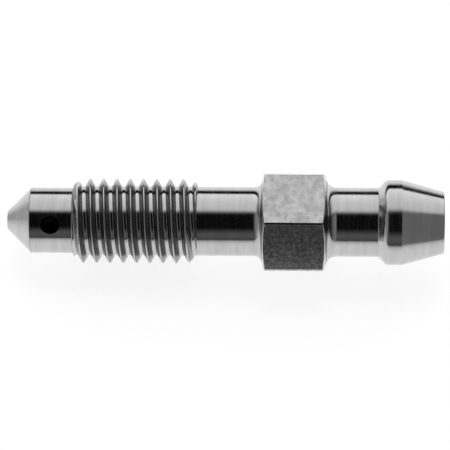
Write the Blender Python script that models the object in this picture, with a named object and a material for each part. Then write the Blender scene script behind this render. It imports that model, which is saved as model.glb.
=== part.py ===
"""Bleeder screw: a hollow M8 screw with a sealing cone, a hexagon and a hose nipple.

The real screw is turned from hexagon bar in one piece, so it is one solid here too. It is made in
the same steps: a turned blank with its bore, the flats of the bar, the helical thread groove and
the cross hole. In the screw's own frame the nose is at the origin and the axis runs along +X to
the nipple. The finished screw lies on a flat surface as it would come to rest: on the edge of one
hexagon flat and on its first full thread crest, so the nose points slightly down.
"""

import math

import bmesh
import bpy
from mathutils import Euler, Matrix, Vector

MM = 0.001

# Nose: sealing cone and the plain dog behind it
NOSE_FLAT_DIAMETER = 1.7 * MM
SEAT_CONE_ANGLE = math.radians(90.0)
DOG_LENGTH = 3.92 * MM
DOG_RELIEF = 0.2 * MM

# Thread: right hand, M8 x 1.25; ratios are parts of the pitch, and a crest passes the +Y side
# just past the start of the thread
THREAD_DIAMETER = 8.0 * MM
THREAD_PITCH = 1.25 * MM
THREAD_LENGTH = 11.75 * MM
THREAD_ANGLE = math.radians(60.0)
THREAD_DEPTH_RATIO = 0.58
CREST_WIDTH_RATIO = 0.06
START_LEAD_DROP = 0.6 * MM
START_LEAD_LENGTH = 0.6 * MM
END_LEAD_DROP = 0.38 * MM
END_LEAD_LENGTH = 0.9 * MM
SHOULDER_ANGLE = math.radians(70.0)
CREST_AFTER_START = 0.28 * MM

# Shank between the thread and the hexagon
SHANK_LENGTH = 6.1 * MM
SHANK_RELIEF = 0.03 * MM

# Hexagon
HEX_SIDES = 6
HEX_ACROSS_FLATS = 9.0 * MM
HEX_LENGTH = 5.9 * MM
HEX_FACE_DROP = 0.15 * MM
HEX_CHAMFER_ANGLE = math.radians(15.0)
SHANK_FILLET = 0.85 * MM
NECK_FILLET = 1.05 * MM

# Neck and hose nipple
NECK_DIAMETER = 6.5 * MM
NECK_LENGTH = 4.95 * MM
NIPPLE_DIAMETER = 8.0 * MM
FLANK_ANGLE = math.radians(45.0)
FLANK_ROUNDING = 0.65 * MM
LAND_LENGTH = 1.45 * MM
TAPER_LENGTH = 3.98 * MM
NIPPLE_END_DIAMETER = 5.8 * MM

# Bore and cross hole
BORE_DIAMETER = 2.8 * MM
BORE_MOUTH_CHAMFER = 0.25 * MM
DRILL_POINT_ANGLE = math.radians(118.0)
CROSS_HOLE_DIAMETER = 1.8 * MM
CROSS_HOLE_ELEVATION = math.radians(54.0)

# Fineness of the round forms
TURN_SEGMENTS = 60
HOLE_SEGMENTS = 28
ARC_SEGMENTS = 4

# Bright plating
PLATING_COLOUR = (0.56, 0.56, 0.56, 1.0)
PLATING_ROUGHNESS = 0.18

# Room that a cutting body keeps past the surface it cuts
CUTTER_OVERRUN = 0.5 * MM
GROOVE_OVERRUN = 0.03 * MM
MERGE_DISTANCE = 0.0001 * MM
SHARP_EDGE_ANGLE = math.radians(30.0)

# Radii that follow from the thread and the hexagon
thread_depth = THREAD_DEPTH_RATIO * THREAD_PITCH
root_radius = THREAD_DIAMETER / 2 - thread_depth
start_lead_radius = THREAD_DIAMETER / 2 - START_LEAD_DROP
end_lead_radius = THREAD_DIAMETER / 2 - END_LEAD_DROP
shank_radius = root_radius - SHANK_RELIEF
dog_radius = root_radius - DOG_RELIEF
hex_face_radius = HEX_ACROSS_FLATS / 2 - HEX_FACE_DROP
hex_corner_radius = HEX_ACROSS_FLATS / 2 / math.cos(math.pi / HEX_SIDES)

# Places along the axis, from the nose
cone_end = (dog_radius - NOSE_FLAT_DIAMETER / 2) / math.tan(SEAT_CONE_ANGLE / 2)
thread_start = cone_end + DOG_LENGTH
thread_end = thread_start + THREAD_LENGTH
hex_start = thread_end + SHANK_LENGTH
hex_end = hex_start + HEX_LENGTH
flank_start = hex_end + NECK_LENGTH
land_start = flank_start + (NIPPLE_DIAMETER - NECK_DIAMETER) / 2 / math.tan(FLANK_ANGLE)
land_end = land_start + LAND_LENGTH
screw_end = land_end + TAPER_LENGTH
cross_hole_place = cone_end + DOG_LENGTH / 2
bore_bottom = cross_hole_place - CROSS_HOLE_DIAMETER / 2


def clear_scene():
    for obj in list(bpy.data.objects):
        bpy.data.objects.remove(obj, do_unlink=True)


def arc(centre, radius, start_angle, end_angle):
    """Points of an arc in the (along, radius) plane, both ends included."""
    points = []
    for step in range(ARC_SEGMENTS + 1):
        angle = start_angle + (end_angle - start_angle) * step / ARC_SEGMENTS
        points.append((centre[0] + radius * math.cos(angle), centre[1] + radius * math.sin(angle)))
    return points


def nose_outline():
    return [
        (0.0, 0.0),
        (0.0, NOSE_FLAT_DIAMETER / 2),
        (cone_end, dog_radius),
    ]


def shoulder_length(foot_radius, top_radius):
    """Length along the axis of the steep shoulder between a plain stretch and a lead taper."""
    return (top_radius - foot_radius) / math.tan(SHOULDER_ANGLE)


def thread_blank_outline():
    """The rolled blank: a steep shoulder and a short lead taper at each end of the thread."""
    start_rise = shoulder_length(dog_radius, start_lead_radius)
    end_rise = shoulder_length(shank_radius, end_lead_radius)
    return [
        (thread_start, dog_radius),
        (thread_start + start_rise, start_lead_radius),
        (thread_start + start_rise + START_LEAD_LENGTH, THREAD_DIAMETER / 2),
        (thread_end - end_rise - END_LEAD_LENGTH, THREAD_DIAMETER / 2),
        (thread_end - end_rise, end_lead_radius),
        (thread_end, shank_radius),
    ]


def collar_outline():
    """The collar that becomes the hexagon, with its two chamfers and the fillets at its foot."""
    collar_radius = hex_corner_radius + CUTTER_OVERRUN
    chamfer_length = (collar_radius - hex_face_radius) * math.tan(HEX_CHAMFER_ANGLE)
    neck_radius = NECK_DIAMETER / 2
    shank_fillet = min(SHANK_FILLET, hex_face_radius - shank_radius)
    neck_fillet = min(NECK_FILLET, hex_face_radius - neck_radius)
    shank_centre = (hex_start - shank_fillet, shank_radius + shank_fillet)
    neck_centre = (hex_end + neck_fillet, neck_radius + neck_fillet)
    return [
        *arc(shank_centre, shank_fillet, math.radians(-90), 0.0),
        (hex_start, hex_face_radius),
        (hex_start + chamfer_length, collar_radius),
        (hex_end - chamfer_length, collar_radius),
        (hex_end, hex_face_radius),
        *arc(neck_centre, neck_fillet, math.radians(180), math.radians(270)),
    ]


def nipple_outline():
    """Hose nipple: a rounded back flank, a short land and a long taper to the open end."""
    tangent = FLANK_ROUNDING * math.tan(FLANK_ANGLE / 2)
    rounding = (land_start + tangent, NIPPLE_DIAMETER / 2 - FLANK_ROUNDING)
    return [
        (flank_start, NECK_DIAMETER / 2),
        *arc(rounding, FLANK_ROUNDING, math.radians(90) + FLANK_ANGLE, math.radians(90)),
        (land_end, NIPPLE_DIAMETER / 2),
        (screw_end, NIPPLE_END_DIAMETER / 2),
    ]


def bore_outline():
    drill_point = BORE_DIAMETER / 2 / math.tan(DRILL_POINT_ANGLE / 2)
    return [
        (screw_end, BORE_DIAMETER / 2 + BORE_MOUTH_CHAMFER),
        (screw_end - BORE_MOUTH_CHAMFER, BORE_DIAMETER / 2),
        (bore_bottom, BORE_DIAMETER / 2),
        (bore_bottom - drill_point, 0.0),
    ]


def object_from_bmesh(name, form):
    bmesh.ops.recalc_face_normals(form, faces=form.faces)
    mesh = bpy.data.meshes.new(name)
    form.to_mesh(mesh)
    form.free()
    obj = bpy.data.objects.new(name, mesh)
    bpy.context.collection.objects.link(obj)
    return obj


def turned_blank(name):
    """Spin the whole outline, from the nose over the outside and back down the bore."""
    outline = [
        *nose_outline(),
        *thread_blank_outline(),
        *collar_outline(),
        *nipple_outline(),
        *bore_outline(),
    ]
    form = bmesh.new()
    points = [form.verts.new((along, radius, 0.0)) for along, radius in outline]
    edges = [form.edges.new(pair) for pair in zip(points, points[1:])]
    bmesh.ops.spin(
        form,
        geom=[*points, *edges],
        cent=(0.0, 0.0, 0.0),
        axis=(1.0, 0.0, 0.0),
        angle=math.tau,
        steps=TURN_SEGMENTS,
        use_merge=True,
    )
    bmesh.ops.remove_doubles(form, verts=form.verts, dist=MERGE_DISTANCE)
    return object_from_bmesh(name, form)


def cut_with(screw, cutter, operation):
    cutter.parent = screw
    cutter.hide_render = True
    cutter.display_type = "WIRE"
    boolean = screw.modifiers.new(cutter.name, "BOOLEAN")
    boolean.operation = operation
    boolean.solver = "EXACT"
    boolean.object = cutter


def hexagon_bar():
    """The bar that the screw is turned from. Only the collar is wide enough to keep its flats."""
    form = bmesh.new()
    corners = []
    for corner in range(HEX_SIDES):
        angle = math.tau * corner / HEX_SIDES
        across = hex_corner_radius * math.cos(angle)
        up = hex_corner_radius * math.sin(angle)
        corners.append(form.verts.new((-CUTTER_OVERRUN, across, up)))
    end_face = form.faces.new(corners)
    extruded = bmesh.ops.extrude_face_region(form, geom=[end_face])
    far_corners = [item for item in extruded["geom"] if isinstance(item, bmesh.types.BMVert)]
    bar_length = screw_end + 2 * CUTTER_OVERRUN
    bmesh.ops.translate(form, verts=far_corners, vec=(bar_length, 0.0, 0.0))
    return object_from_bmesh("hexagon_bar", form)


def groove_section():
    """Section of the thread groove as (along, radius): a flat root, two flanks and walls above."""
    slope = math.tan(THREAD_ANGLE / 2)
    root_half_width = (1 - CREST_WIDTH_RATIO) * THREAD_PITCH / 2 - thread_depth * slope
    top_half_width = root_half_width + (thread_depth + GROOVE_OVERRUN) * slope
    top_radius = THREAD_DIAMETER / 2 + GROOVE_OVERRUN
    wall_radius = top_radius + CUTTER_OVERRUN
    return [
        (-top_half_width, wall_radius),
        (-top_half_width, top_radius),
        (-root_half_width, root_radius),
        (root_half_width, root_radius),
        (top_half_width, top_radius),
        (top_half_width, wall_radius),
    ]


def thread_groove():
    """Sweep the groove's section along a right-hand helix that starts and ends in free air."""
    section = groove_section()
    run_in = THREAD_PITCH
    groove_beside_crest = thread_start + CREST_AFTER_START - THREAD_PITCH / 2
    first_groove = groove_beside_crest - run_in
    turns = math.ceil((run_in + THREAD_LENGTH + run_in) / THREAD_PITCH)
    form = bmesh.new()
    previous = None
    for station in range(turns * TURN_SEGMENTS + 1):
        angle = math.tau * station / TURN_SEGMENTS
        advance = first_groove + THREAD_PITCH * station / TURN_SEGMENTS
        ring = []
        for along, radius in section:
            point = (advance + along, radius * math.cos(angle), radius * math.sin(angle))
            ring.append(form.verts.new(point))
        if previous is None:
            form.faces.new(ring)
        else:
            for side in range(len(ring)):
                following = (side + 1) % len(ring)
                form.faces.new((previous[side], previous[following], ring[following], ring[side]))
        previous = ring
    form.faces.new(previous)
    return object_from_bmesh("thread_groove", form)


def cross_hole():
    """Drill from the outside of the dog into the bore, square to the axis."""
    depth = dog_radius + CUTTER_OVERRUN
    direction = Vector((0.0, -math.cos(CROSS_HOLE_ELEVATION), math.sin(CROSS_HOLE_ELEVATION)))
    turned = Vector((0.0, 0.0, 1.0)).rotation_difference(direction).to_matrix().to_4x4()
    middle = Vector((cross_hole_place, 0.0, 0.0)) + direction * depth / 2
    form = bmesh.new()
    bmesh.ops.create_cone(
        form,
        cap_ends=True,
        segments=HOLE_SEGMENTS,
        radius1=CROSS_HOLE_DIAMETER / 2,
        radius2=CROSS_HOLE_DIAMETER / 2,
        depth=depth,
        matrix=Matrix.Translation(middle) @ turned,
    )
    return object_from_bmesh("cross_hole", form)


def plated_steel():
    material = bpy.data.materials.new("plated_steel")
    material.use_nodes = True
    shader = material.node_tree.nodes["Principled BSDF"]
    shader.inputs["Base Color"].default_value = PLATING_COLOUR
    shader.inputs["Metallic"].default_value = 1.0
    shader.inputs["Roughness"].default_value = PLATING_ROUGHNESS
    return material


def rest_tilt():
    """Angle at which the first full crest underneath and the near edge of the lower flat touch."""
    turns_to_underside = 3 / 4
    crest = thread_start + CREST_AFTER_START + THREAD_PITCH * turns_to_underside
    start_rise = shoulder_length(dog_radius, start_lead_radius)
    full_form_start = thread_start + start_rise + START_LEAD_LENGTH
    crest += THREAD_PITCH * math.ceil((full_form_start - crest) / THREAD_PITCH)
    crest_edge = crest - THREAD_PITCH * CREST_WIDTH_RATIO / 2
    flat_edge = hex_start + HEX_FACE_DROP * math.tan(HEX_CHAMFER_ANGLE)
    drop = (HEX_ACROSS_FLATS - THREAD_DIAMETER) / 2
    return math.atan2(drop, flat_edge - crest_edge)


def lay_down(screw):
    """Turn the nose down to the resting angle, then centre the screw over the origin."""
    turn = Euler((0.0, -rest_tilt(), 0.0))
    screw.rotation_euler = turn
    bpy.context.view_layer.update()
    evaluated = screw.evaluated_get(bpy.context.evaluated_depsgraph_get())
    mesh = evaluated.to_mesh()
    turned = [turn.to_matrix() @ vertex.co for vertex in mesh.vertices]
    evaluated.to_mesh_clear()
    along = [point.x for point in turned]
    lowest = min(point.z for point in turned)
    screw.location = (-(min(along) + max(along)) / 2, 0.0, -lowest)


def build():
    clear_scene()
    screw = turned_blank("bleeder_screw")
    screw.data.materials.append(plated_steel())
    cut_with(screw, hexagon_bar(), "INTERSECT")
    cut_with(screw, thread_groove(), "DIFFERENCE")
    cut_with(screw, cross_hole(), "DIFFERENCE")
    screw.data.shade_smooth()
    screw.data.set_sharp_from_angle(angle=SHARP_EDGE_ANGLE)
    lay_down(screw)


build()
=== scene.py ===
"""Looks of the bleeder screw: a fine skin in place of the plain solid, its plating, and the studio.

The skin is built in the screw's own frame, with the nose at the origin and the axis along +X, and
is then laid down at the same resting angle as the solid. Seen along the axis, a station is one
angle round the screw, counted from +Y towards +Z. Every station has the same number of points
before and behind the thread, while the thread's points climb along the helix from station to
station, so that its crests and roots follow the mesh.
"""

import math

import bmesh
import bpy
from mathutils import Matrix, Quaternion, Vector


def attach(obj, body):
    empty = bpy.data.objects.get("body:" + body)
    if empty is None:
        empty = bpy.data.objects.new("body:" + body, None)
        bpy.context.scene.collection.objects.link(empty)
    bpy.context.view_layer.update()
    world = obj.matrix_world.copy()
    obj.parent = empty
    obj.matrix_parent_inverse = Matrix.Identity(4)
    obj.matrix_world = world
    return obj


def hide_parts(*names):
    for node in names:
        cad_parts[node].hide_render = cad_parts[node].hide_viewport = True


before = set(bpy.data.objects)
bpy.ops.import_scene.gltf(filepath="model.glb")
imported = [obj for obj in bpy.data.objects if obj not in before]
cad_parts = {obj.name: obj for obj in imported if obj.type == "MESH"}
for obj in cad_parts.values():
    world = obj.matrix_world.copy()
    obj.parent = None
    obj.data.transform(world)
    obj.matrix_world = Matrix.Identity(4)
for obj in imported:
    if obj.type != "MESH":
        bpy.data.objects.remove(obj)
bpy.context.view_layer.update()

MM = 0.001

# Nose, dog and cross hole
NOSE_FLAT_DIAMETER = 1.7 * MM
SEAT_CONE_ANGLE = math.radians(90.0)
DOG_LENGTH = 3.92 * MM
DOG_RELIEF = 0.2 * MM
CROSS_HOLE_DIAMETER = 1.8 * MM
CROSS_HOLE_ELEVATION = math.radians(54.0)
CROSS_HOLE_EDGE_BREAK = 0.015 * MM

# Thread: a ratio is a part of the pitch, and two heights that differ by less than a softness
# pass into each other in a rounding. At angle 0 a crest stands CREST_AFTER_START past the start
THREAD_DIAMETER = 8.0 * MM
THREAD_PITCH = 1.25 * MM
THREAD_LENGTH = 11.75 * MM
THREAD_ANGLE = math.radians(60.0)
THREAD_DEPTH_RATIO = 0.58
CREST_WIDTH_RATIO = 0.06
START_LEAD_DROP = 0.6 * MM
START_LEAD_LENGTH = 0.6 * MM
END_LEAD_DROP = 0.38 * MM
END_LEAD_LENGTH = 0.9 * MM
SHOULDER_ANGLE = math.radians(70.0)
CREST_AFTER_START = 0.28 * MM
CREST_SOFTNESS = 0.06 * MM
ROOT_SOFTNESS = 0.08 * MM

# Shank, hexagon and neck
SHANK_LENGTH = 6.1 * MM
SHANK_RELIEF = 0.03 * MM
HEX_SIDES = 6
HEX_ACROSS_FLATS = 9.0 * MM
HEX_LENGTH = 5.9 * MM
HEX_FACE_DROP = 0.15 * MM
HEX_CHAMFER_ANGLE = math.radians(15.0)
HEX_EDGE_ROUNDING = 0.32 * MM
HEX_CHAMFER_ROUNDING = 0.1 * MM
SHANK_FILLET = 0.85 * MM
NECK_FILLET = 1.05 * MM
NECK_DIAMETER = 6.5 * MM
NECK_LENGTH = 4.95 * MM

# Hose nipple and bore
NIPPLE_DIAMETER = 8.0 * MM
FLANK_ANGLE = math.radians(45.0)
FLANK_ROUNDING = 0.65 * MM
LAND_LENGTH = 1.45 * MM
TAPER_LENGTH = 3.98 * MM
NIPPLE_END_DIAMETER = 5.8 * MM
BORE_DIAMETER = 2.8 * MM
BORE_MOUTH_CHAMFER = 0.25 * MM
DRILL_POINT_ANGLE = math.radians(118.0)
EDGE_ROUNDING = 0.12 * MM

# Fineness of the skin: EDGE_SUPPORT is from a rounding to the close point beside it, and
# HELIX_MARGIN is the least from a shoulder to the helix's first and last points
STATION_STEP = math.radians(2.0)
CORNER_STEP = math.radians(0.3)
CORNER_STEPS = 7
ANGLE_DIGITS = 6
ARC_STEP = math.radians(12.0)
FEWEST_ARC_STEPS = 2
EDGE_SUPPORT = 0.02 * MM
HELIX_MARGIN = 0.005 * MM
SPARE_TURNS = 2
SHOULDER_RINGS = 5
HOLE_SEGMENTS = 72
MERGE_DISTANCE = 0.0005 * MM
SHARP_EDGE_ANGLE = math.radians(35.0)

# Plating: how noise is scaled along and across the axis, the middle part of a noise's range, and
# how far along the axis a face's normal leans where the face counts as steep or as the lead's
FINE_RINGS = (1.0, 0.04, 0.04)
BROAD_RINGS = (1.0, 0.15, 0.15)
EVEN = (1.0, 1.0, 1.0)
NOISE_MIDDLE = (0.3, 0.7)
# Steep faces and the lead's faces that lean towards the nose get painted shade: a darker colour
STEEP_LEAN = 0.78
LEAD_LEAN = 0.6

# Places of the finishes and of the painted shades among the screw's materials
TURNED, ROLLED, DULL_PAINTED_SHADE, DRAWN, BORE_PAINTED_SHADE = range(5)

# Camera, set from the photograph: the scale at the screw's axis, the column of the nose, and the
# row of the axis in the middle column
IMAGE_SIZE = 450
PIXELS_PER_MM = 10.64
NOSE_COLUMN = 7.4
AXIS_ROW = 221.37
CAMERA_DISTANCE = 350.0 * MM
CAMERA_ELEVATION = math.radians(62.2)
CAMERA_AZIMUTH = math.radians(0.4)
CAMERA_ROLL = math.radians(0.83)
CLIP_START = 10.0 * MM
CLIP_END = 10000.0 * MM
SENSOR_WIDTH = 36.0 * MM

# Brightness over the screw, as (degrees, level) stops: the near horizon is at 0 degrees, straight
# above at 90 and the far horizon at 180
OVERHEAD_STOPS = [
    # Below the horizon, beyond the floor's rim
    (-180, 0.01),
    (-90, 0.03),
    # A grey strip along the near horizon
    (-3, 0.055),
    (1, 0.075),
    (5, 0.11),
    (19, 0.12),
    (31, 0.045),
    # The dark room above it
    (39, 0.004),
    (85, 0.004),
    # The large light, with a soft near edge
    (90, 0.08),
    (97, 0.52),
    (103, 0.8),
    (131, 0.92),
    (160, 1.15),
    (164.5, 1.1),
    # Dark again over the far horizon
    (168.5, 0.01),
    (180, 0.005),
]

# Fades of the lights, each as start, end, level at the start and level at the end. They go by how
# far a direction points along the screw or upwards, and the near side's by the angle over it
OVERHEAD_FALL = (0.50, 1.00, 1.0, 0.02)
NOSE_END_RISE = (-0.12, -0.75, 0.0, 0.30)
TAIL_END_RISE = (0.04, 0.17, 0.0, 0.23)
TAIL_END_FALL = (0.30, 1.00, 1.0, 0.05)
NEAR_SIDE_FALL = (math.radians(95.0), math.radians(110.0), 1.0, 0.08)
LOW_LIGHT_FALL = (0.08, 0.16, 1.0, 0.0)
LOW_LIGHT_RISE = (-0.6, -0.8, 0.0, 0.62)

# Floor: a painted pool of light, whose glow and colour fall off by (distance, level) stops across
# the screw, and half as fast along it
FLOOR_RADIUS = 150.0 * MM
FLOOR_SEGMENTS = 128
FLOOR_FALL_ALONG = 0.5
FLOOR_PAINTED_LIGHT_STOPS = [
    (27.0 * MM, 1.0),
    (50.0 * MM, 0.86),
    (75.0 * MM, 0.66),
    (98.0 * MM, 0.34),
    (122.0 * MM, 0.03),
]
FLOOR_GREY = 0.35
FLOOR_ROUGHNESS = 0.2
FLOOR_IOR = 1.5
FLOOR_GLOW = (0.89, 0.89, 0.89, 1.0)

# Radii and places that follow
thread_radius = THREAD_DIAMETER / 2
thread_depth = THREAD_DEPTH_RATIO * THREAD_PITCH
root_radius = thread_radius - thread_depth
start_lead_radius = thread_radius - START_LEAD_DROP
end_lead_radius = thread_radius - END_LEAD_DROP
shank_radius = root_radius - SHANK_RELIEF
dog_radius = root_radius - DOG_RELIEF
neck_radius = NECK_DIAMETER / 2
hex_face_radius = HEX_ACROSS_FLATS / 2 - HEX_FACE_DROP
bore_radius = BORE_DIAMETER / 2
cone_end = (dog_radius - NOSE_FLAT_DIAMETER / 2) / math.tan(SEAT_CONE_ANGLE / 2)
thread_start = cone_end + DOG_LENGTH
thread_end = thread_start + THREAD_LENGTH
hex_start = thread_end + SHANK_LENGTH
hex_end = hex_start + HEX_LENGTH
flat_edge = hex_start + HEX_FACE_DROP * math.tan(HEX_CHAMFER_ANGLE)
flank_start = hex_end + NECK_LENGTH
land_start = flank_start + (NIPPLE_DIAMETER - NECK_DIAMETER) / 2 / math.tan(FLANK_ANGLE)
land_end = land_start + LAND_LENGTH
screw_end = land_end + TAPER_LENGTH
cross_hole_place = cone_end + DOG_LENGTH / 2
bore_bottom = cross_hole_place - CROSS_HOLE_DIAMETER / 2
drill_point_length = bore_radius / math.tan(DRILL_POINT_ANGLE / 2)

# The thread's ends and form: crest_edge is half the width of a groove at its top
start_rise = (start_lead_radius - dog_radius) / math.tan(SHOULDER_ANGLE)
end_rise = (end_lead_radius - shank_radius) / math.tan(SHOULDER_ANGLE)
full_form_start = thread_start + start_rise + START_LEAD_LENGTH
first_groove = thread_start + CREST_AFTER_START - THREAD_PITCH / 2
flank_slope = math.tan(THREAD_ANGLE / 2)
crest_edge = (1 - CREST_WIDTH_RATIO) * THREAD_PITCH / 2

# Limits of the finishes
lead_middle = thread_start + start_rise + START_LEAD_LENGTH / 2
hexagon_reach = HEX_ACROSS_FLATS / 2 - EDGE_SUPPORT
cross_hole_reach = dog_radius - CROSS_HOLE_EDGE_BREAK / 4
bore_reach = bore_radius + EDGE_SUPPORT
bore_end = screw_end - BORE_MOUTH_CHAMFER


# Outline of the turned parts

def rounded(corners):
    """Outline through (along, radius, rounding) corners, with close points beside a rounding."""
    points = [Vector(corners[0][:2])]
    for before, corner, after in zip(corners, corners[1:], corners[2:]):
        place = Vector(corner[:2])
        arriving = (place - Vector(before[:2])).normalized()
        leaving = (Vector(after[:2]) - place).normalized()
        rounding = corner[2]
        if rounding == 0.0:
            points.append(place)
            continue
        turn = arriving.angle_signed(leaving)
        reach = rounding * math.tan(abs(turn) / 2)
        start = place - arriving * reach
        points.append(start - arriving * EDGE_SUPPORT)
        steps = max(FEWEST_ARC_STEPS, math.ceil(abs(turn) / ARC_STEP))
        inward = Vector((-arriving.y, arriving.x)) * math.copysign(1.0, -turn)
        centre = start + inward * rounding
        for step in range(steps + 1):
            swing = Matrix.Rotation(-turn * step / steps, 2)
            points.append(centre + swing @ (start - centre))
        points.append(place + leaving * (reach + EDGE_SUPPORT))
    points.append(Vector(corners[-1][:2]))
    return points


def nose_corners():
    """From half way out on the nose's flat over the sealing cone and the dog to the thread."""
    return [
        (0.0, NOSE_FLAT_DIAMETER / 4, 0.0),
        (0.0, NOSE_FLAT_DIAMETER / 2, EDGE_ROUNDING),
        (cone_end, dog_radius, EDGE_ROUNDING),
        (thread_start, dog_radius, 0.0),
    ]


def tail_corners(angle):
    """From the end of the thread over the hexagon and the nipple to the foot of the bore."""
    across = hexagon_radius(angle)
    chamfer = (across - hex_face_radius) * math.tan(HEX_CHAMFER_ANGLE)
    return [
        (thread_end, shank_radius, 0.0),
        (hex_start, shank_radius, SHANK_FILLET),
        (hex_start, hex_face_radius, 0.0),
        (hex_start + chamfer, across, HEX_CHAMFER_ROUNDING),
        (hex_end - chamfer, across, HEX_CHAMFER_ROUNDING),
        (hex_end, hex_face_radius, 0.0),
        (hex_end, neck_radius, NECK_FILLET),
        (flank_start, neck_radius, EDGE_ROUNDING),
        (land_start, NIPPLE_DIAMETER / 2, FLANK_ROUNDING),
        (land_end, NIPPLE_DIAMETER / 2, EDGE_ROUNDING),
        (screw_end, NIPPLE_END_DIAMETER / 2, EDGE_ROUNDING),
        (screw_end, bore_radius + BORE_MOUTH_CHAMFER, EDGE_ROUNDING / 2),
        (screw_end - BORE_MOUTH_CHAMFER, bore_radius, EDGE_ROUNDING / 2),
        (bore_bottom, bore_radius, 0.0),
        (bore_bottom - drill_point_length / 2, bore_radius / 2, 0.0),
    ]


def hexagon_radius(angle):
    """Distance from the axis to the hexagon, with its six long edges slightly rounded."""
    sixth = math.tau / HEX_SIDES
    from_corner = (angle + sixth / 2) % sixth - sixth / 2
    half_across = HEX_ACROSS_FLATS / 2
    centre = (half_across - HEX_EDGE_ROUNDING) / math.cos(sixth / 2)
    tangent_height = HEX_EDGE_ROUNDING * math.sin(sixth / 2)
    tangent_reach = centre + HEX_EDGE_ROUNDING * math.cos(sixth / 2)
    if abs(from_corner) < math.atan2(tangent_height, tangent_reach):
        offset = centre * math.sin(from_corner)
        return centre * math.cos(from_corner) + math.sqrt(HEX_EDGE_ROUNDING**2 - offset**2)
    return half_across / math.cos(sixth / 2 - abs(from_corner))


# Form of the thread

def soft_min(first, second, softness):
    """The lesser of two heights, with the edge between them rounded."""
    overlap = max(softness - abs(first - second), 0.0)
    return min(first, second) - overlap * overlap / softness / 4


def soft_max(first, second, softness):
    """The greater of two heights, with the corner between them rounded."""
    return -soft_min(-first, -second, softness)


def blank_radius(along):
    """The rolled blank: steep shoulders and short lead tapers at both ends of the thread."""
    steep = math.tan(SHOULDER_ANGLE)
    start_slope = START_LEAD_DROP / START_LEAD_LENGTH
    end_slope = END_LEAD_DROP / END_LEAD_LENGTH
    limits = [
        dog_radius + (along - thread_start) * steep,
        start_lead_radius + (along - thread_start - start_rise) * start_slope,
        shank_radius + (thread_end - along) * steep,
        end_lead_radius + (thread_end - end_rise - along) * end_slope,
    ]
    radius = thread_radius
    for limit in limits:
        radius = soft_min(radius, limit, CREST_SOFTNESS)
    return radius


def groove_radius(offset):
    """Height of the thread's form at an offset along the axis from the middle of a groove."""
    flank = thread_radius + (abs(offset) - crest_edge) / flank_slope
    return soft_max(soft_min(flank, thread_radius, CREST_SOFTNESS), root_radius, ROOT_SOFTNESS)


def thread_surface(along, angle):
    """Distance from the axis to the finished thread."""
    climbed = along - first_groove - THREAD_PITCH * angle / math.tau
    offset = (climbed + THREAD_PITCH / 2) % THREAD_PITCH - THREAD_PITCH / 2
    return soft_min(blank_radius(along), groove_radius(offset), CREST_SOFTNESS)


def turn_samples():
    """Offsets within one pitch, from groove to groove, close together where the form bends."""
    root_edge = crest_edge - thread_depth * flank_slope
    rising = [0.0]
    for step in (-1.0, -0.5, 0.0, 0.5, 1.0):
        rising.append(root_edge + step * ROOT_SOFTNESS * flank_slope)
    rising.append((root_edge + crest_edge) / 2)
    for step in (-1.0, -0.5, 0.0, 0.5):
        rising.append(crest_edge + step * CREST_SOFTNESS * flank_slope)
    falling = [THREAD_PITCH - offset for offset in reversed(rising[1:])]
    return [*rising, THREAD_PITCH / 2, *falling]


# Skin

def station_angles():
    """Even steps round the screw, and finer ones beside the hexagon's six edges."""
    angles = set()
    for step in range(round(math.tau / STATION_STEP)):
        angles.add(round(step * STATION_STEP, ANGLE_DIGITS))
    for corner in range(HEX_SIDES):
        for step in range(-CORNER_STEPS, CORNER_STEPS + 1):
            angle = math.tau * corner / HEX_SIDES + step * CORNER_STEP
            angles.add(round(angle % math.tau, ANGLE_DIGITS))
    return sorted(angles)


def add_column(skin, angle, points):
    """Add the (along, radius) points of one station."""
    column = []
    for along, radius in points:
        place = (along, radius * math.cos(angle), radius * math.sin(angle))
        column.append(skin.verts.new(place))
    return column


def shoulder_points(start, end, angle):
    """Evenly spaced points over the steep shoulder at one end of the thread."""
    points = []
    for ring in range(SHOULDER_RINGS + 1):
        along = start + (end - start) * ring / SHOULDER_RINGS
        points.append((along, thread_surface(along, angle)))
    return points


def join_columns(skin, column, following):
    """Faces between two stations with the same number of points."""
    for step in range(len(column) - 1):
        skin.faces.new((column[step], following[step], following[step + 1], column[step + 1]))


def helix_points(angle, samples, low, high):
    """Numbered points of one station between two places: the numbers climb with the helix."""
    points = {}
    turns = math.ceil(THREAD_LENGTH / THREAD_PITCH) + SPARE_TURNS
    for turn in range(-SPARE_TURNS, turns):
        for place, sample in enumerate(samples):
            along = first_groove + (turn + angle / math.tau) * THREAD_PITCH + sample
            if low + HELIX_MARGIN < along < high - HELIX_MARGIN:
                points[turn * len(samples) + place] = (along, thread_surface(along, angle))
    return points


def join_helix(skin, lower, upper, column, following, shift):
    """Faces between two stations' numbered points, and fans where a number enters or leaves."""
    left = {number + shift: vert for number, vert in column.items()}
    shared = sorted(set(left) & set(following))
    for number, successor in zip(shared, shared[1:]):
        skin.faces.new((left[number], following[number], following[successor], left[successor]))
    first, last = shared[0], shared[-1]
    entering = [following[number] for number in sorted(following) if number <= first]
    edge = [lower[1], *entering]
    for near, far in zip(edge, edge[1:]):
        skin.faces.new((lower[0], near, far))
    skin.faces.new((lower[0], edge[-1], left[first]))
    leaving = [left[number] for number in sorted(left) if number >= last]
    edge = [*leaving, upper[0]]
    skin.faces.new((leaving[0], following[last], upper[1]))
    for near, far in zip(edge, edge[1:]):
        skin.faces.new((near, upper[1], far))


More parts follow.
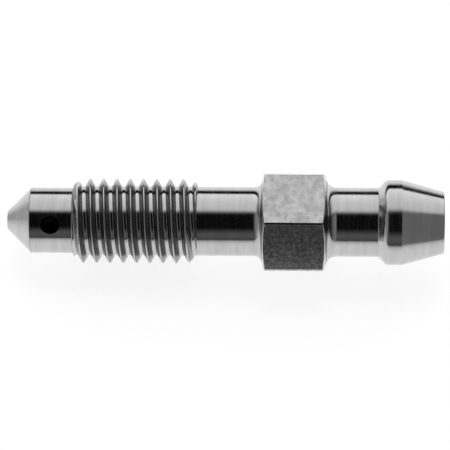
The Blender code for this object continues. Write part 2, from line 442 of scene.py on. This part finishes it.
def screw_skin():
    """The whole screw but for its cross hole, as one closed surface."""
    skin = bmesh.new()
    samples = turn_samples()
    angles = station_angles()
    low = thread_start + start_rise
    high = thread_end - end_rise
    nose_points = rounded(nose_corners())
    noses, threads, tails = [], [], []
    for angle in angles:
        shoulder = shoulder_points(thread_start, low, angle)[1:]
        runout = shoulder_points(high, thread_end, angle)[:-1]
        noses.append(add_column(skin, angle, [*nose_points, *shoulder]))
        tails.append(add_column(skin, angle, [*runout, *rounded(tail_corners(angle))]))
        numbered = helix_points(angle, samples, low, high)
        column = add_column(skin, angle, numbered.values())
        threads.append(dict(zip(numbered, column)))
    nose_middle = skin.verts.new((0.0, 0.0, 0.0))
    drill_tip = skin.verts.new((bore_bottom - drill_point_length, 0.0, 0.0))
    for station in range(len(angles)):
        following = (station + 1) % len(angles)
        shift = len(samples) if following == 0 else 0
        join_columns(skin, noses[station], noses[following])
        join_columns(skin, tails[station], tails[following])
        lower = (noses[station][-1], noses[following][-1])
        upper = (tails[station][0], tails[following][0])
        join_helix(skin, lower, upper, threads[station], threads[following], shift)
        skin.faces.new((nose_middle, noses[following][0], noses[station][0]))
        skin.faces.new((drill_tip, tails[station][-1], tails[following][-1]))
    return skin


def mesh_object(name, form):
    """Turn a finished form into an object of the scene."""
    mesh = bpy.data.meshes.new(name)
    form.to_mesh(mesh)
    form.free()
    obj = bpy.data.objects.new(name, mesh)
    bpy.context.scene.collection.objects.link(obj)
    return obj


def cross_hole():
    """The drill that opens the dog into the bore, wider at its mouth where the edge is broken."""
    outward = Vector((0.0, -math.cos(CROSS_HOLE_ELEVATION), math.sin(CROSS_HOLE_ELEVATION)))
    sideways = Vector((1.0, 0.0, 0.0)).cross(outward)
    radius = CROSS_HOLE_DIAMETER / 2
    # The broken edge goes on as far above the dog's surface as below it
    mouth = radius + 2 * CROSS_HOLE_EDGE_BREAK
    inside_bore = radius / 3
    beyond_dog = dog_radius + radius
    form = bmesh.new()
    rings = [[], [], [], []]
    for segment in range(HOLE_SEGMENTS):
        angle = math.tau * segment / HOLE_SEGMENTS
        edge_height = math.sqrt(dog_radius**2 - (radius * math.sin(angle)) ** 2)
        mouth_height = math.sqrt(dog_radius**2 - (mouth * math.sin(angle)) ** 2)
        sections = [
            (radius, inside_bore),
            (radius, edge_height - CROSS_HOLE_EDGE_BREAK),
            (mouth, mouth_height + CROSS_HOLE_EDGE_BREAK),
            (mouth, beyond_dog),
        ]
        for ring, (reach, height) in zip(rings, sections):
            place = Vector((cross_hole_place + reach * math.cos(angle), 0.0, 0.0))
            place += sideways * reach * math.sin(angle) + outward * height
            ring.append(form.verts.new(place))
    for ring, following in zip(rings, rings[1:]):
        for segment in range(HOLE_SEGMENTS):
            beside = (segment + 1) % HOLE_SEGMENTS
            form.faces.new((ring[segment], ring[beside], following[beside], following[segment]))
    form.faces.new(list(reversed(rings[0])))
    form.faces.new(rings[-1])
    bmesh.ops.recalc_face_normals(form, faces=form.faces)
    return mesh_object("cross_hole", form)


def cut(obj, cutter):
    """Take the cutter out of an object, and join the points that the cut leaves too close."""
    boolean = obj.modifiers.new(cutter.name, "BOOLEAN")
    boolean.operation = "DIFFERENCE"
    boolean.solver = "EXACT"
    boolean.object = cutter
    graph = bpy.context.evaluated_depsgraph_get()
    result = bpy.data.meshes.new_from_object(obj.evaluated_get(graph))
    obj.modifiers.clear()
    form = bmesh.new()
    form.from_mesh(result)
    bmesh.ops.remove_doubles(form, verts=form.verts, dist=MERGE_DISTANCE)
    form.to_mesh(result)
    form.free()
    obj.data = result
    bpy.data.objects.remove(cutter)


# Resting place

def resting_tilt():
    """Angle at which the screw lies on the end of its lower flat and on a full thread crest."""
    turns_to_underside = 3 / 4
    crest = thread_start + CREST_AFTER_START + THREAD_PITCH * turns_to_underside
    crest += THREAD_PITCH * math.ceil((full_form_start - crest) / THREAD_PITCH)
    crest_end = crest - THREAD_PITCH * CREST_WIDTH_RATIO / 2
    return math.atan2((HEX_ACROSS_FLATS - THREAD_DIAMETER) / 2, flat_edge - crest_end)


def resting_place(tilt):
    """Where the nose's middle comes, with the screw centred over the origin and on the floor."""
    nose_reach = -NOSE_FLAT_DIAMETER / 2 * math.sin(tilt)
    tail_reach = screw_end * math.cos(tilt) + NIPPLE_END_DIAMETER / 2 * math.sin(tilt)
    lowest = flat_edge * math.sin(tilt) - HEX_ACROSS_FLATS / 2 * math.cos(tilt)
    return Vector((-(nose_reach + tail_reach) / 2, 0.0, -lowest))


tilt = resting_tilt()
nose_place = resting_place(tilt)
own_to_world = Matrix.Translation(nose_place) @ Matrix.Rotation(-tilt, 4, "Y")


# Nodes

def link(tree, source, target):
    tree.links.new(source, target)


def node(tree, kind, **settings):
    made = tree.nodes.new(kind)
    for name, value in settings.items():
        setattr(made, name, value)
    return made


def math_node(tree, operation, *values):
    """Work out one value from others, which are sockets or plain numbers."""
    made = node(tree, "ShaderNodeMath", operation=operation)
    for value, socket in zip(values, made.inputs):
        if isinstance(value, float):
            socket.default_value = value
        else:
            link(tree, value, socket)
    return made.outputs["Value"]


def map_range(tree, value, start, end, at_start, at_end, interpolation="LINEAR"):
    """Pass from one level to another while value goes from start to end."""
    ranged = node(tree, "ShaderNodeMapRange", interpolation_type=interpolation)
    ranged.inputs["From Min"].default_value = start
    ranged.inputs["From Max"].default_value = end
    ranged.inputs["To Min"].default_value = at_start
    ranged.inputs["To Max"].default_value = at_end
    link(tree, value, ranged.inputs["Value"])
    return ranged.outputs["Result"]


def fade(tree, value, start, end, at_start, at_end):
    """Pass from one level to another with a smooth start and end."""
    return map_range(tree, value, start, end, at_start, at_end, "SMOOTHSTEP")


def ramp(tree, value, start, end, stops):
    """Brightness that passes through (place, level) stops while value goes from start to end."""
    made = node(tree, "ShaderNodeValToRGB")
    link(tree, map_range(tree, value, start, end, 0.0, 1.0), made.inputs["Fac"])
    elements = made.color_ramp.elements
    # New stops may start anywhere, since all of them get their places below
    while len(elements) < len(stops):
        elements.new(0.5)
    for element, (place, level) in zip(elements, stops):
        element.position = (place - start) / (end - start)
        element.color = (level, level, level, 1.0)
    return made.outputs["Color"]


def own_coordinates(tree):
    """Coordinates in the screw's own frame, so that its marks follow its axis."""
    mapping = node(tree, "ShaderNodeMapping", vector_type="TEXTURE")
    mapping.inputs["Location"].default_value = nose_place
    mapping.inputs["Rotation"].default_value = (0.0, -tilt, 0.0)
    link(tree, node(tree, "ShaderNodeTexCoord").outputs["Object"], mapping.inputs["Vector"])
    return mapping.outputs["Vector"]


def noise(tree, coordinates, scale, detail, stretch):
    """Noise whose features are 1/scale metres across, stretched along the screw's own axes."""
    mapping = node(tree, "ShaderNodeMapping")
    mapping.inputs["Scale"].default_value = stretch
    link(tree, coordinates, mapping.inputs["Vector"])
    texture = node(tree, "ShaderNodeTexNoise")
    texture.inputs["Scale"].default_value = scale
    texture.inputs["Detail"].default_value = detail
    link(tree, mapping.outputs["Vector"], texture.inputs["Vector"])
    return texture.outputs["Fac"]


def bump(tree, height, distance, before=None):
    """Relief of a given height, on top of the relief before it."""
    made = node(tree, "ShaderNodeBump")
    made.inputs["Strength"].default_value = 1.0
    made.inputs["Distance"].default_value = distance
    link(tree, height, made.inputs["Height"])
    if before is not None:
        link(tree, before, made.inputs["Normal"])
    return made.outputs["Normal"]


# Plating, and painted shade

def plated_steel(name, marks, marks_height, waves, waves_height, greys, roughness):
    """Plating, bright or with painted shade in its greys. marks and waves are (scale, detail,
    stretch) of its fine and broad relief.
    """
    material = bpy.data.materials.new(name)
    material.use_nodes = True
    tree = material.node_tree
    shader = tree.nodes["Principled BSDF"]
    shader.inputs["Metallic"].default_value = 1.0
    coordinates = own_coordinates(tree)
    fine = noise(tree, coordinates, *marks)
    broad = noise(tree, coordinates, *waves)
    uneven_gloss = map_range(tree, fine, *NOISE_MIDDLE, *roughness)
    link(tree, uneven_gloss, shader.inputs["Roughness"])
    grey = map_range(tree, broad, *NOISE_MIDDLE, *greys)
    colour = node(tree, "ShaderNodeCombineColor")
    for channel in ("Red", "Green", "Blue"):
        link(tree, grey, colour.inputs[channel])
    link(tree, colour.outputs["Color"], shader.inputs["Base Color"])
    relief = bump(tree, broad, waves_height)
    relief = bump(tree, fine, marks_height, relief)
    link(tree, relief, shader.inputs["Normal"])
    return material


def turned_plating():
    """Bright, with the faint rings that a lathe leaves: nose, dog, shank, neck and nipple."""
    return plated_steel(
        "turned_plating",
        marks=(9000.0, 3.0, FINE_RINGS),
        marks_height=0.001 * MM,
        waves=(1700.0, 4.0, BROAD_RINGS),
        waves_height=0.0015 * MM,
        greys=(0.51, 0.60),
        roughness=(0.07, 0.16),
    )


def rolled_plating():
    """Bright and smooth, on the crests and roots of the thread."""
    return plated_steel(
        "rolled_plating",
        marks=(2500.0, 3.0, EVEN),
        marks_height=0.001 * MM,
        waves=(600.0, 2.0, EVEN),
        waves_height=0.003 * MM,
        greys=(0.54, 0.60),
        roughness=(0.06, 0.10),
    )


def dull_plating_painted_shade():
    """Duller, with painted shade: a darker colour on the thread's flanks and in the steep hollows
    beside the hexagon.
    """
    return plated_steel(
        "dull_plating_painted_shade",
        marks=(2500.0, 3.0, EVEN),
        marks_height=0.001 * MM,
        waves=(600.0, 2.0, EVEN),
        waves_height=0.003 * MM,
        greys=(0.20, 0.26),
        roughness=(0.18, 0.28),
    )


def drawn_plating():
    """Blotchy, on the flats of the drawn hexagon bar."""
    return plated_steel(
        "drawn_plating",
        marks=(4200.0, 2.0, EVEN),
        marks_height=0.0015 * MM,
        waves=(1900.0, 4.0, EVEN),
        waves_height=0.0015 * MM,
        greys=(0.39, 0.64),
        roughness=(0.02, 0.16),
    )


def bore_painted_shade():
    """Rough, with painted shade: a dark colour in the bore and the cross hole, where shade falls.
    """
    return plated_steel(
        "bore_painted_shade",
        marks=(2500.0, 3.0, EVEN),
        marks_height=0.002 * MM,
        waves=(600.0, 2.0, EVEN),
        waves_height=0.003 * MM,
        greys=(0.08, 0.12),
        roughness=(0.35, 0.50),
    )


def finish_or_painted_shade_of(face):
    """The finish or painted shade of one face of the skin, by its place and by how far its normal
    leans.
    """
    along, across, up = face.center
    radius = math.hypot(across, up)
    steep = abs(face.normal.x) > STEEP_LEAN
    on_lead = thread_start < along < lead_middle and face.normal.x < -LEAD_LEAN
    in_bore = bore_bottom < along < bore_end and radius < bore_reach
    in_cross_hole = cone_end < along < thread_start and radius < cross_hole_reach
    beside_hexagon = hex_start - SHANK_FILLET < along < hex_end + NECK_FILLET
    on_hexagon = hex_start < along < hex_end
    if in_bore or in_cross_hole:
        # Painted shade: the bore, the cross hole, the thread's flanks and lead and the steep
        # hollows are coloured darker
        return BORE_PAINTED_SHADE
    if thread_start < along < thread_end and radius > dog_radius:
        return DULL_PAINTED_SHADE if steep or on_lead else ROLLED
    if beside_hexagon and not on_hexagon and steep:
        return DULL_PAINTED_SHADE
    if on_hexagon and radius > hexagon_reach and not steep:
        return DRAWN
    return TURNED


def assign_materials(screw):
    """Give the screw its finishes and painted shades, in the order of their places, and each face
    its own.
    """
    finishes = (turned_plating, rolled_plating, dull_plating_painted_shade, drawn_plating, bore_painted_shade)
    for finish in finishes:
        screw.data.materials.append(finish())
    for face in screw.data.polygons:
        face.material_index = finish_or_painted_shade_of(face)


def build_screw():
    """The skin with its cross hole, finishes and painted shades, laid down in the solid's place."""
    screw = mesh_object("bleeder_screw_skin", screw_skin())
    cut(screw, cross_hole())
    screw.data.shade_smooth()
    screw.data.set_sharp_from_angle(angle=SHARP_EDGE_ANGLE)
    assign_materials(screw)
    screw.data.transform(own_to_world)
    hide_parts("bleeder_screw")
    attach(screw, "root")


# Studio light

def overhead_light(tree, along, overhead):
    """The large light and the strips round it, over the screw and fading towards its ends."""
    stops = [(math.radians(degrees), level) for degrees, level in OVERHEAD_STOPS]
    over = ramp(tree, overhead, -math.pi, math.pi, stops)
    sideways = math_node(tree, "ABSOLUTE", along)
    return math_node(tree, "MULTIPLY", over, fade(tree, sideways, *OVERHEAD_FALL))


def end_lights(tree, along, overhead):
    """Weak lights towards both ends, mostly on the near side, for the faces that lean there."""
    nose_end = fade(tree, along, *NOSE_END_RISE)
    tail_rise = fade(tree, along, *TAIL_END_RISE)
    tail_end = math_node(tree, "MULTIPLY", tail_rise, fade(tree, along, *TAIL_END_FALL))
    near_side = fade(tree, overhead, *NEAR_SIDE_FALL)
    return [math_node(tree, "MULTIPLY", end, near_side) for end in (nose_end, tail_end)]


def low_light(tree, along, up):
    """A low light beyond the nose, which the top of the sealing cone mirrors."""
    low = fade(tree, up, *LOW_LIGHT_FALL)
    return math_node(tree, "MULTIPLY", low, fade(tree, along, *LOW_LIGHT_RISE))


def studio_world():
    """A dark room with a large soft light behind and above, as a bright screw mirrors it."""
    world = bpy.data.worlds.new("studio")
    world.use_nodes = True
    tree = world.node_tree
    parts = node(tree, "ShaderNodeSeparateXYZ")
    link(tree, node(tree, "ShaderNodeTexCoord").outputs["Generated"], parts.inputs["Vector"])
    along, away, up = parts.outputs["X"], parts.outputs["Y"], parts.outputs["Z"]
    nearer = math_node(tree, "MULTIPLY", away, -1.0)
    overhead = math_node(tree, "ARCTAN2", up, nearer)
    brightest = overhead_light(tree, along, overhead)
    for light in (*end_lights(tree, along, overhead), low_light(tree, along, up)):
        brightest = math_node(tree, "MAXIMUM", brightest, light)
    link(tree, brightest, tree.nodes["Background"].inputs["Color"])
    bpy.context.scene.world = world


# Floor

def floor_painted_light_falloff(tree):
    """Painted pool of light: full in the middle, and falling off in ovals that are long in the
    screw's direction.
    """
    oval = node(tree, "ShaderNodeMapping")
    oval.inputs["Scale"].default_value = (FLOOR_FALL_ALONG, 1.0, 1.0)
    link(tree, node(tree, "ShaderNodeTexCoord").outputs["Object"], oval.inputs["Vector"])
    distance = node(tree, "ShaderNodeVectorMath", operation="LENGTH")
    link(tree, oval.outputs["Vector"], distance.inputs[0])
    return ramp(tree, distance.outputs["Value"], 0.0, FLOOR_RADIUS, FLOOR_PAINTED_LIGHT_STOPS)


def seen_rays(tree):
    """1 for rays that see the floor straight, in a mirror or through glass, 0 for the others."""
    rays = node(tree, "ShaderNodeLightPath")
    seen = rays.outputs["Is Camera Ray"]
    for kind in ("Is Glossy Ray", "Is Transmission Ray"):
        seen = math_node(tree, "MAXIMUM", seen, rays.outputs[kind])
    return seen


def floor_material():
    """White where it is seen, grey for the light that falls on it, with a slight gloss on top; glow
    and grey fade towards the rim as a painted pool of light.
    """
    material = bpy.data.materials.new("pale_floor")
    material.use_nodes = True
    tree = material.node_tree
    tree.nodes.clear()
    brightness = floor_painted_light_falloff(tree)
    glow = node(tree, "ShaderNodeEmission")
    glow.inputs["Color"].default_value = FLOOR_GLOW
    strength = math_node(tree, "MULTIPLY", seen_rays(tree), brightness)
    link(tree, strength, glow.inputs["Strength"])
    diffuse = node(tree, "ShaderNodeBsdfDiffuse")
    reflected = math_node(tree, "MULTIPLY", brightness, FLOOR_GREY)
    link(tree, reflected, diffuse.inputs["Color"])
    paper = node(tree, "ShaderNodeAddShader")
    link(tree, diffuse.outputs["BSDF"], paper.inputs[0])
    link(tree, glow.outputs["Emission"], paper.inputs[1])
    gloss = node(tree, "ShaderNodeBsdfGlossy")
    gloss.inputs["Roughness"].default_value = FLOOR_ROUGHNESS
    share = node(tree, "ShaderNodeFresnel")
    share.inputs["IOR"].default_value = FLOOR_IOR
    sheet = node(tree, "ShaderNodeMixShader")
    link(tree, share.outputs["Fac"], sheet.inputs["Fac"])
    link(tree, paper.outputs["Shader"], sheet.inputs[1])
    link(tree, gloss.outputs["BSDF"], sheet.inputs[2])
    link(tree, sheet.outputs["Shader"], node(tree, "ShaderNodeOutputMaterial").inputs["Surface"])
    return material


def pale_floor():
    """A round white sheet that keeps the screw's shadow, with painted shade that darkens it towards
    its rim.
    """
    form = bmesh.new()
    bmesh.ops.create_circle(form, cap_ends=True, segments=FLOOR_SEGMENTS, radius=FLOOR_RADIUS)
    floor = mesh_object("floor", form)
    floor.data.materials.append(floor_material())


# Camera

def camera():
    """Look at the screw as the photograph does. The sensor and the lens count in millimetres."""
    data = bpy.data.cameras.new("camera")
    field = IMAGE_SIZE / PIXELS_PER_MM * MM
    data.sensor_width = SENSOR_WIDTH / MM
    data.lens = SENSOR_WIDTH / MM * CAMERA_DISTANCE / field
    data.clip_start = CLIP_START
    data.clip_end = CLIP_END
    obj = bpy.data.objects.new("camera", data)
    bpy.context.scene.collection.objects.link(obj)
    level = math.cos(CAMERA_ELEVATION)
    back = Vector((
        math.sin(CAMERA_AZIMUTH) * level,
        -math.cos(CAMERA_AZIMUTH) * level,
        math.sin(CAMERA_ELEVATION),
    ))
    turn = back.to_track_quat("Z", "Y") @ Quaternion((0.0, 0.0, 1.0), CAMERA_ROLL)
    middle = (IMAGE_SIZE / 2 - NOSE_COLUMN) / PIXELS_PER_MM * MM
    below_axis = (IMAGE_SIZE / 2 - AXIS_ROW) / PIXELS_PER_MM * MM
    aim = own_to_world @ Vector((middle, 0.0, 0.0)) - turn @ Vector((0.0, below_axis, 0.0))
    obj.rotation_mode = "QUATERNION"
    obj.rotation_quaternion = turn
    obj.location = aim + back * CAMERA_DISTANCE
    bpy.context.scene.camera = obj


build_screw()
studio_world()
pale_floor()
camera()
bpy.context.scene.view_settings.view_transform = "Standard"
